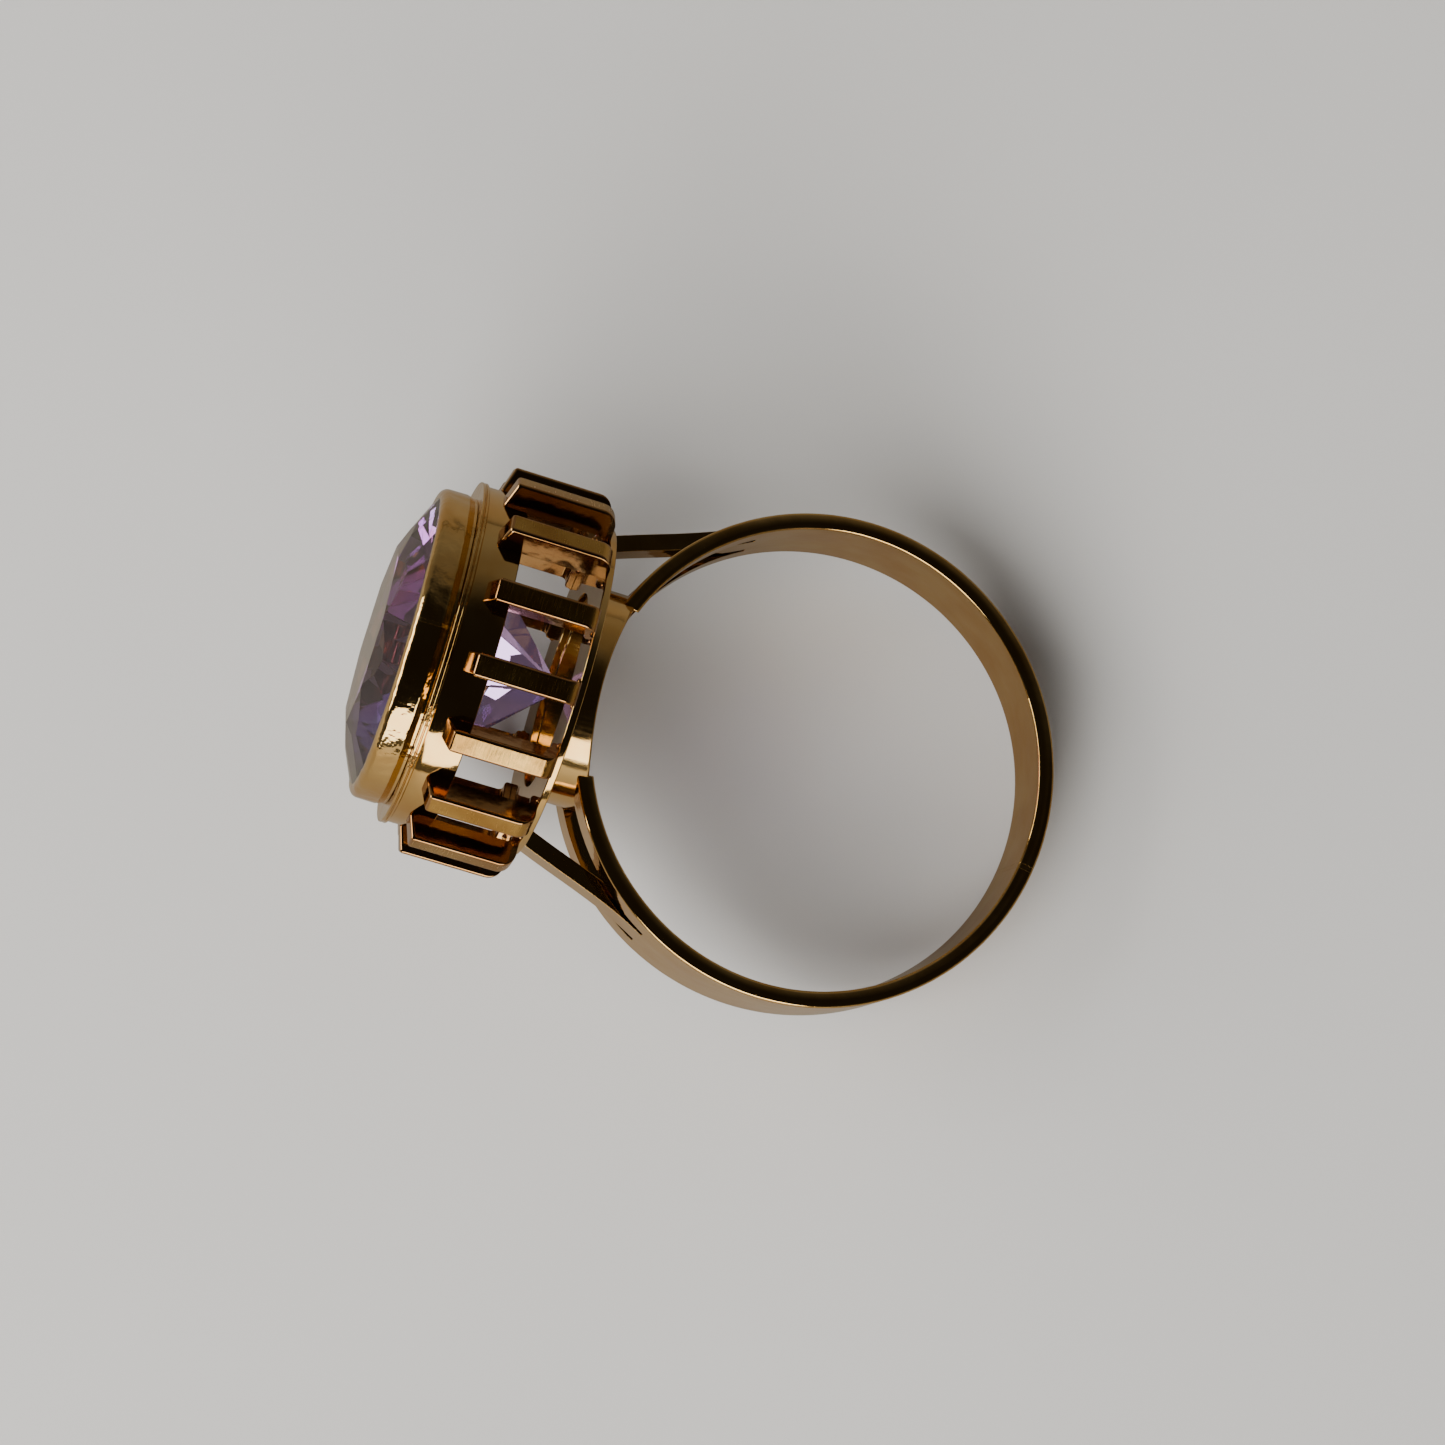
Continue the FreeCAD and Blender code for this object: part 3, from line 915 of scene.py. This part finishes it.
@dataclass
class Cage:
    """Base plate, sixteen bars and the tube that stands on the finger.

    Attributes are radii, heights and widths in millimetres.
    """

    plate_radius: float = 6.6
    plate_thickness: float = 0.3
    plate_height: float = 10.05
    bar_count: int = 16
    bar_inner: float = 6.72
    bar_outer: float = 7.74
    bar_width: float = 0.92
    worn_edge: float = 0.13
    worn_steps: int = 5
    leaning_bar: int = 5
    leaning_turn: float = -9.0
    lean_range: Pair = (-1.6, 1.6)
    width_slack: Pair = (0.0, 0.012)
    top_filing: Pair = (-0.04, 0.0)
    foot_filing: Pair = (0.0, 0.05)
    filed_depth: float = 0.3
    filed_margin: float = 0.1
    bead_radius: Pair = (0.10, 0.14)
    bead_place: Pair = (6.38, 6.46)
    bead_sink: float = 0.02
    bar_top_inner: float = 14.66
    bar_top_outer: float = 14.36
    toe_inner: float = 6.2
    toe_height: float = 0.3
    foot_round: float = 0.6
    tube_radius: float = 4.3
    tube_wall: float = 0.4
    tube_rim: tuple[Pair, ...] = ((0.08, 0.0), (0.03, 0.02), (0.0, 0.06))
    tube_rows: tuple[float, ...] = (0.3, 0.6, 0.95, 1.0)
    saddle_radius: float = 9.2
    draw: random.Random = field(default_factory=lambda: random.Random(SEED + 7))

    def plate(self, bench: Bench) -> None:
        """Build the flat washer that the bars stand on."""
        inner = self.tube_radius - self.tube_wall
        low = self.plate_height
        high = low + self.plate_thickness
        outline = round_corners(
            [(inner, low), (self.plate_radius, low), (self.plate_radius, high), (inner, high)],
            [0.04, 0.06, 0.06, 0.04])
        piece = settle("base_plate_ring", lathe(outline, 256))
        bench.deliver(piece, Slot.POLISHED, ["base_plate"], bench.polished)

    def bar_outline(self, slant: float, foot: float, inset: float) -> list[Pair]:
        """Draw one bar's side.

        Args:
            slant: how far the top is filed off its drawn height, negative or 0.
            foot: radius of the outer corner at the foot.
            inset: how far the outer and upper faces are drawn in.

        Returns:
            The (radius, height) outline.
        """
        floor = self.plate_height + self.plate_thickness
        toe = floor + self.toe_height
        outer = self.bar_outer - inset
        return round_corners([
            (self.toe_inner, floor),
            (outer, floor),
            (outer, self.bar_top_outer + slant - inset),
            (self.bar_inner, self.bar_top_inner + slant * 0.5 - inset),
            (self.bar_inner, toe),
            (self.toe_inner, toe - inset * 0.5),
        ], [0.02, foot - inset, self.worn_edge, 0.03, 0.22, 0.08], steps=8)

    def bar_blank(self) -> Solid:
        """Build one bar upright on the first axis, with worn long edges.

        Returns:
            The closed bar, its filed outer face in the second material slot.
        """
        bm = bmesh.new()
        half = self.bar_width / 2.0 - self.draw.uniform(*self.width_slack)
        slant = self.draw.uniform(*self.top_filing)
        foot = self.foot_round - self.draw.uniform(*self.foot_filing)
        rows = []
        for side in (-1, 1):
            for step in range(self.worn_steps + 1):
                share = step / self.worn_steps if side > 0 else 1.0 - step / self.worn_steps
                turn = math.pi / 2.0 * share
                across = side * (half - self.worn_edge + self.worn_edge * math.sin(turn))
                outline = self.bar_outline(slant, foot, self.worn_edge * (1.0 - math.cos(turn)))
                rows.append([bm.verts.new((radius, across, height)) for radius, height in outline])
        skin_rows(bm, rows, False)
        bm.faces.new(rows[0])
        bm.faces.new(rows[-1])
        for face in bm.faces:
            centre = face.calc_center_median()
            filed = abs(centre.y) < 0.05 and centre.x > self.bar_outer - self.filed_depth
            face.material_index = 1 if filed and centre.z < self.bar_top_outer - self.filed_margin else 0
        return bm

    def bar(self, bench: Bench, index: int) -> None:
        """Build one bar, with a bead of solder on each side of its toe.

        Args:
            bench: the finishes.
            index: the bar's number, from 0.
        """
        bm = self.bar_blank()
        lean = self.leaning_turn if index + 1 == self.leaning_bar else self.draw.uniform(*self.lean_range)
        middle = ((self.bar_inner + self.bar_outer) / 2.0, 0.0, 0.0)
        bmesh.ops.rotate(bm, verts=bm.verts, cent=middle, matrix=Matrix.Rotation(math.radians(lean), 3, "Z"))
        for side in (-1, 1):
            self.add_bead(bm, side)
        turn = math.tau * (index + 0.5) / self.bar_count
        bmesh.ops.rotate(bm, verts=bm.verts, cent=(0.0, 0.0, 0.0), matrix=Matrix.Rotation(turn, 3, "Z"))
        name = f"bar_{index + 1:02d}"
        piece = settle(f"cage_{name}", bm)
        # All faces but the filed outer one take the darker gold, painted shade between the bars.
        bench.deliver(piece, Slot.SATIN, [name], bench.cage, bench.satin)

    def add_bead(self, bm: Solid, side: int) -> None:
        """Add the frozen drop of solder between a bar's side and the plate.

        Args:
            bm: the bar's mesh, in its own upright place.
            side: which side of the bar, -1 or 1.
        """
        floor = self.plate_height + self.plate_thickness
        radius = self.draw.uniform(*self.bead_radius)
        across = side * (self.bar_width / 2.0 + self.bead_sink)
        place = Matrix.Translation((self.draw.uniform(*self.bead_place), across, floor))
        size = Matrix.Diagonal((radius * 1.1, radius, radius, 1.0))
        made = bmesh.ops.create_icosphere(bm, subdivisions=3, radius=1.0, matrix=place @ size)
        for vert in made["verts"]:
            vert.co.z = max(vert.co.z, floor - self.bead_sink)

    def tube(self, bench: Bench) -> None:
        """Build the tube, whose lower end is a saddle over the finger."""
        inner = self.tube_radius - self.tube_wall
        rows = []
        bm = bmesh.new()
        segments = 256
        for index in range(segments):
            angle = math.tau * index / segments
            row = []
            for radius, share in self.tube_section(inner):
                across = radius * math.cos(angle)
                low = math.sqrt(self.saddle_radius ** 2 - across ** 2)
                row.append(bm.verts.new(on_ring(angle, radius, low + (self.plate_height - low) * share)))
            rows.append(row)
        skin_rows(bm, rows, True)
        piece = settle("gallery_tube_wall", bm)
        bench.deliver(piece, Slot.POLISHED, ["gallery_tube"], bench.filed)

    def tube_section(self, inner: float) -> list[Pair]:
        """Draw the tube's wall as (radius, share of the height) points, its lower rim rounded.

        Args:
            inner: the tube's inner radius.

        Returns:
            The closed section.
        """
        outer = self.tube_radius
        rim = [(inner + step, share) for share, step in self.tube_rim]
        rim += [(outer - step, share) for share, step in reversed(self.tube_rim)]
        wall = [(outer, share) for share in self.tube_rows]
        back = [(inner, share) for share in reversed(self.tube_rows)]
        return rim + wall + back

    def build(self, bench: Bench) -> None:
        """Build and dress the cage."""
        self.plate(bench)
        self.tube(bench)
        for index in range(self.bar_count):
            self.bar(bench, index)


@dataclass
class Shank:
    """Flat band, wider towards the head, each shoulder sawn into three tines.

    Attributes are radii, heights and widths in millimetres.
    """

    finger_radius: float = 9.0
    thickness: float = 0.65
    width_back: float = 3.2
    width_head: float = 5.4
    tine_width: float = 1.5
    slot_width: float = 0.4
    slot_height: float = 4.6
    tine_foot: Pair = (5.95, 10.05)
    tube_radius: float = 4.3
    edge: float = 0.09
    saw_edge: float = 0.02
    crown: float = 0.06
    crown_steps: int = 6
    hoop_steps: int = 260
    tine_steps: int = 30
    taper_margin: float = 0.5
    tine_arrival: Pair = (-0.37, 0.93)
    tine_hold: float = 1.9
    tine_middle: float = 1.7
    tube_bite: float = 0.06
    sharp: float = 34.0

    def half_width(self, height: float) -> float:
        """Give half the band's width at a height: it tapers evenly towards the back."""
        reach = self.finger_radius + self.thickness + self.taper_margin
        share = (height + reach) / (2.0 * reach)
        return (self.width_back + (self.width_head - self.width_back) * share) / 2.0

    def slot_angle(self) -> float:
        """Give the angle, in radians, at which the saw cuts end."""
        return math.asin(self.slot_height / (self.finger_radius + self.thickness / 2.0))

    def hoop_point(self, angle: float, side: float) -> tuple[Vector, Vector]:
        """Give a point on the band's middle surface and the outward direction there.

        Args:
            angle: angle above the band's widest point.
            side: 1 for the right shoulder, -1 for the left.

        Returns:
            The point and the direction, both in the ring's plane.
        """
        out = Vector((side * math.cos(angle), 0.0, math.sin(angle)))
        return out * (self.finger_radius + self.thickness / 2.0), out

    def middle_point(self, share: float, side: float) -> tuple[Vector, Vector]:
        """Give a point on the middle tine's own middle surface and its outward direction.

        Args:
            share: how far up the tine, from 0 at the saw cuts to 1 at the plate.
            side: 1 for the right shoulder, -1 for the left.

        Returns:
            The point and the direction.
        """
        start, out = self.hoop_point(self.slot_angle(), 1.0)
        leave = Vector((-out.z, 0.0, out.x))
        end = Vector((self.tine_foot[0], 0.0, self.tine_foot[1] - 0.01))
        arrive = Vector((self.tine_arrival[0], 0.0, self.tine_arrival[1]))
        points = (start, start + leave * self.tine_hold, end - arrive * self.tine_hold, end)
        place, tangent = bezier(points, share)
        outward = Vector((tangent.z, 0.0, -tangent.x)).normalized()
        return Vector((side * place.x, 0.0, place.z)), Vector((side * outward.x, 0.0, outward.z))

    def rim(self, edge: float) -> list[Pair]:
        """Draw the domed side of the band, from its outer corner to its inner one.

        Args:
            edge: where the side is, along the finger axis, with its sign.

        Returns:
            The (along, depth) points, corners included.
        """
        half = self.thickness / 2.0
        points = []
        for step in range(self.crown_steps + 1):
            depth = half * (1.0 - 2.0 * step / self.crown_steps)
            fall = self.crown * (depth / half) ** 2
            points.append((edge - math.copysign(fall, edge), depth))
        return points

    def lanes(self, edge: float) -> list[list[Pair]]:
        """Draw the sections of the three tines, one next to the other.

        Args:
            edge: half the band's width there.

        Returns:
            For each lane its closed (along, depth) outline, starting at the outer corner that
            is lowest along the finger axis.
        """
        near = self.tine_width / 2.0
        far = near + self.slot_width
        half = self.thickness / 2.0
        low = [(-far, half), (-far, -half)] + list(reversed(self.rim(-edge)))
        middle = [(-near, half), (near, half), (near, -half), (-near, -half)]
        high = [(far, half)] + self.rim(edge) + [(far, -half)]
        return [low, middle, high]

    def set_section(self, bm: Solid, place: Vector, out: Vector,
                    outline: Sequence[Pair]) -> list[Vert]:
        """Add one section of a strip.

        Args:
            bm: the band's mesh.
            place: a point on the middle surface.
            out: the outward direction.
            outline: the section's (along, depth) points.

        Returns:
            Its corners in the same order.
        """
        return [bm.verts.new(place + out * depth + Vector((0.0, along, 0.0))) for along, depth in outline]

    def hoop(self, bm: Solid) -> list[list[list[Vert]]]:
        """Build the unsawn band from one shoulder round the back to the other.

        Args:
            bm: the band's mesh.

        Returns:
            The first and the last section, each as three lanes of corners.
        """
        start = self.slot_angle()
        sweep = math.pi + 2.0 * start
        rows = []
        ends = []
        for step in range(self.hoop_steps + 1):
            place, out = self.hoop_point(start - sweep * step / self.hoop_steps, 1.0)
            low, middle, high = (self.set_section(bm, place, out, lane)
                                 for lane in self.lanes(self.half_width(place.z)))
            rows.append(low[-1:] + low[:1] + middle[:2] + high[:-1] + high[-1:] + middle[2:] + low[1:-1])
            if step in (0, self.hoop_steps):
                ends.append([low, middle, high])
        skin_rows(bm, rows, False)
        return ends

    def shoulder(self, bm: Solid, lanes: list[list[Vert]], side: float) -> None:
        """Grow the three tines from the band's last section and close the saw cuts' ends.

        Args:
            bm: the band's mesh.
            lanes: the corners of the last section.
            side: 1 for the right shoulder, -1 for the left.
        """
        low, middle, high = lanes
        bm.faces.new((low[0], middle[0], middle[3], low[1]))
        bm.faces.new((middle[1], high[0], high[-1], middle[2]))
        start = self.slot_angle()
        centre = [middle]
        for step in range(1, self.tine_steps + 1):
            place, out = self.middle_point(step / self.tine_steps, side)
            centre.append(self.set_section(bm, place, out, self.lanes(2.0)[1]))
        sides = [[low], [high]]
        for step in range(1, self.tine_steps + 1):
            share = step / self.tine_steps
            level = self.hoop_point(start + (self.end_angle(self.tine_middle) - start) * share, side)[0].z
            outlines = self.lanes(self.half_width(level))
            for rows, outline in zip(sides, (outlines[0], outlines[2])):
                row = []
                for along, depth in outline:
                    angle = start + (self.end_angle(along) - start) * share
                    place, out = self.hoop_point(angle, side)
                    row.append(bm.verts.new(place + out * depth + Vector((0.0, along, 0.0))))
                rows.append(row)
        for rows in (centre, *sides):
            skin_rows(bm, rows, False)
            bm.faces.new(rows[-1])

    def end_angle(self, along: float) -> float:
        """Give the angle at which an outer tine runs into the tube.

        Args:
            along: the point's place along the finger axis.

        Returns:
            The angle, in radians.
        """
        across = math.sqrt(max(0.1, (self.tube_radius - self.tube_bite) ** 2 - along ** 2))
        return math.acos(across / (self.finger_radius + self.thickness / 2.0))

    def weigh_edges(self, bm: Solid) -> None:
        """Give each edge its rounding: full on the worn rims, slight on the saw cuts.

        Args:
            bm: the band's mesh.
        """
        bmesh.ops.recalc_face_normals(bm, faces=bm.faces)
        weight = bm.edges.layers.float.new("bevel_weight_edge")
        inner = self.tine_width / 2.0 + self.slot_width + 0.05
        for edge in bm.edges:
            if len(edge.link_faces) != 2 or edge.calc_face_angle(0.0) < math.radians(self.sharp):
                continue
            worn = all(abs(vert.co.y) > inner for vert in edge.verts)
            edge[weight] = 1.0 if worn else self.saw_edge / self.edge

    def build(self, bench: Bench) -> None:
        """Build and dress the band."""
        bm = bmesh.new()
        first, last = self.hoop(bm)
        self.shoulder(bm, first, 1.0)
        self.shoulder(bm, last, -1.0)
        self.weigh_edges(bm)
        piece = settle("split_shank", bm, bevel=self.edge, segments=4, weighted=True)
        bench.deliver(piece, Slot.POLISHED, ["shank"], bench.band)


def bezier(points: Sequence[Vector], share: float) -> tuple[Vector, Vector]:
    """Read a cubic curve.

    Args:
        points: its four control points.
        share: where to read it, from 0 to 1.

    Returns:
        The point and the direction of travel there.
    """
    a, b, c, d = points
    left = 1.0 - share
    place = a * left ** 3 + b * (3 * left ** 2 * share) + c * (3 * left * share ** 2) + d * share ** 3
    tangent = (b - a) * (3 * left ** 2) + (c - b) * (6 * left * share) + (d - c) * (3 * share ** 2)
    return place, tangent.normalized()


# --- studio ---


@dataclass(frozen=True)
class Lamp:
    """Soft rectangular light that faces the ring.

    Attributes:
        name: the light's name.
        azimuth: its bearing, 0 towards -Y and 90 towards +X.
        elevation: its angle above the floor.
        distance: how far off it is.
        size: its width and height.
        watts: its power.
        mirrored: whether polished surfaces show it.
    """

    name: str
    azimuth: float
    elevation: float
    distance: float
    size: Pair
    watts: float
    mirrored: bool = True

    def hang(self) -> None:
        """Add the light to the scene."""
        data = bpy.data.lights.new(self.name, "AREA")
        data.shape = "RECTANGLE"
        data.size, data.size_y = self.size
        data.energy = self.watts
        data.color = LAMP_TINT
        lamp = bpy.data.objects.new(self.name, data)
        bpy.context.scene.collection.objects.link(lamp)
        turn, rise = math.radians(self.azimuth), math.radians(self.elevation)
        back = Vector((math.sin(turn) * math.cos(rise), -math.cos(turn) * math.cos(rise), math.sin(rise)))
        lamp.location = back * self.distance
        lamp.rotation_mode = "QUATERNION"
        lamp.rotation_quaternion = (-back).to_track_quat("-Z", "Y")
        lamp.visible_glossy = self.mirrored
        lamp.visible_transmission = self.mirrored


@dataclass
class Studio:
    """Pale floor, soft lights and the camera.

    Attributes are in metres, watts and degrees.
    """

    floor_colour: Colour = (0.60, 0.59, 0.575, 1.0)
    # Darker brown floor tone that only mirror rays see: painted shade in the gold's reflections.
    painted_floor_reflection: Colour = (0.27, 0.24, 0.195, 1.0)
    floor_lift: float = 1.1
    floor_roughness: float = 0.55
    floor_scale: float = 28.0
    wall_tint: Triple = (1.0, 0.93, 0.82)
    open_side: Triple = (-0.6, 0.8, 0.0)
    open_span: Pair = (-0.25, 0.45)
    backdrop: Colour = (0.40, 0.395, 0.385, 1.0)
    floor_size: float = 1.6
    dim_wall: tuple[Pair, ...] = ((0.0, 0.12), (0.3, 0.05), (0.6, 0.014))
    pale_wall: tuple[Pair, ...] = ((0.0, 0.26), (0.6, 0.17), (0.93, 0.016))
    lamps: tuple[Lamp, ...] = (
        Lamp("window_near", azimuth=8.0, elevation=20.0, distance=0.5, size=(0.50, 0.22), watts=1.9),
        Lamp("window_left", azimuth=-82.0, elevation=27.0, distance=0.5, size=(0.42, 0.24), watts=2.0),
        Lamp("overhead", azimuth=-24.0, elevation=42.0, distance=0.55, size=(0.50, 0.50), watts=4.8,
             mirrored=False),
    )
    camera_distance: float = 0.1397
    camera_elevation: float = 76.48
    camera_azimuth: float = 28.51
    camera_roll: float = -14.32
    camera_lens: float = 88.74
    camera_target: Triple = (-0.00358, 0.00078, 0.00057)

    def floor(self) -> None:
        """Lay the plain pale floor at the ring's lowest point; mirror rays see it in a darker, painted tone.
        """
        low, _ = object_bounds()
        half = self.floor_size / 2.0
        mesh = bpy.data.meshes.new("floor")
        corners = [(-half, -half, low.z), (half, -half, low.z), (half, half, low.z), (-half, half, low.z)]
        mesh.from_pydata(corners, [], [(0, 1, 2, 3)])
        piece = new_object("floor", mesh)
        material, tree, shader = new_material("floor_pale")
        shader.inputs["Roughness"].default_value = self.floor_roughness
        where = add_node(tree, "ShaderNodeTexCoord")
        cloud = noise(tree, where.outputs["Object"], self.floor_scale, 4.0, 0.55)
        paler = tuple(min(1.0, value * self.floor_lift) for value in self.floor_colour[:3]) + (1.0,)
        # Mirror rays get the painted darker tone, so polished gold reflects a shaded floor.
        seen = add_node(tree, "ShaderNodeLightPath")
        tone = blended(tree, seen.outputs["Is Glossy Ray"], blended(tree, cloud, self.floor_colour, paler),
                       self.painted_floor_reflection)
        tree.links.new(tone, shader.inputs["Base Color"])
        mesh.materials.append(material)
        piece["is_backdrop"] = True

    def surroundings(self) -> None:
        """Set the room: pale low walls on the open side, dim ones opposite, and a dark ceiling."""
        world = bpy.data.worlds.new("room")
        world.use_nodes = True
        bpy.context.scene.world = world
        tree = world.node_tree
        heading = add_node(tree, "ShaderNodeTexCoord").outputs["Generated"]
        parts = add_node(tree, "ShaderNodeSeparateXYZ", {"Vector": heading})
        toward = add_node(tree, "ShaderNodeVectorMath", {0: heading, 1: self.open_side},
                          operation="DOT_PRODUCT")
        side = stretched(tree, toward.outputs["Value"], self.open_span)
        dim, pale = (self.wall(tree, parts.outputs["Z"], stops) for stops in (self.dim_wall, self.pale_wall))
        seen = add_node(tree, "ShaderNodeLightPath")
        shown = blended(tree, seen.outputs["Is Camera Ray"], blended(tree, side, dim, pale), self.backdrop)
        tree.links.new(shown, tree.nodes["Background"].inputs["Color"])

    def wall(self, tree: Tree, rise: Socket,
             stops: Sequence[Pair]) -> Socket:
        """Shade one side of the room from the floor to the ceiling.

        Args:
            tree: the world's node tree.
            rise: how far up a direction points, from 0 to 1.
            stops: (rise, brightness) pairs.

        Returns:
            The colour's socket.
        """
        ramp = add_node(tree, "ShaderNodeValToRGB", {"Fac": rise})
        ramp.color_ramp.interpolation = "EASE"
        while len(ramp.color_ramp.elements) < len(stops):
            ramp.color_ramp.elements.new(1.0)
        for element, (position, level) in zip(ramp.color_ramp.elements, stops):
            element.position = position
            element.color = tuple(level * part for part in self.wall_tint) + (1.0,)
        return ramp.outputs["Color"]

    def camera(self) -> None:
        """Set the camera above the lying ring, a little towards its near edge."""
        data = bpy.data.cameras.new("camera")
        data.sensor_width = 36.0
        data.lens = self.camera_lens
        data.clip_start = 0.001
        data.clip_end = 10.0
        camera = bpy.data.objects.new("camera", data)
        bpy.context.scene.collection.objects.link(camera)
        rise, turn = math.radians(self.camera_elevation), math.radians(self.camera_azimuth)
        ahead = Vector((-math.sin(turn) * math.cos(rise), math.cos(turn) * math.cos(rise), -math.sin(rise)))
        camera.location = Vector(self.camera_target) - ahead * self.camera_distance
        camera.rotation_mode = "QUATERNION"
        level = ahead.to_track_quat("-Z", "Y")
        roll = Matrix.Rotation(math.radians(self.camera_roll), 3, "Z").to_quaternion()
        camera.rotation_quaternion = level @ roll
        bpy.context.scene.camera = camera

    def build(self) -> None:
        """Set up the studio."""
        self.floor()
        self.surroundings()
        for lamp in self.lamps:
            lamp.hang()
        self.camera()


def main() -> None:
    """Build the ring, its finishes and the studio."""
    logging.basicConfig(level=logging.INFO, format="%(name)s: %(message)s")
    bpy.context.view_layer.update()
    bench = Bench()
    Stone().build(bench)
    Setting().build(bench)
    Cage().build(bench)
    Shank().build(bench)
    Studio().build()


if __name__ == "__main__":
    main()
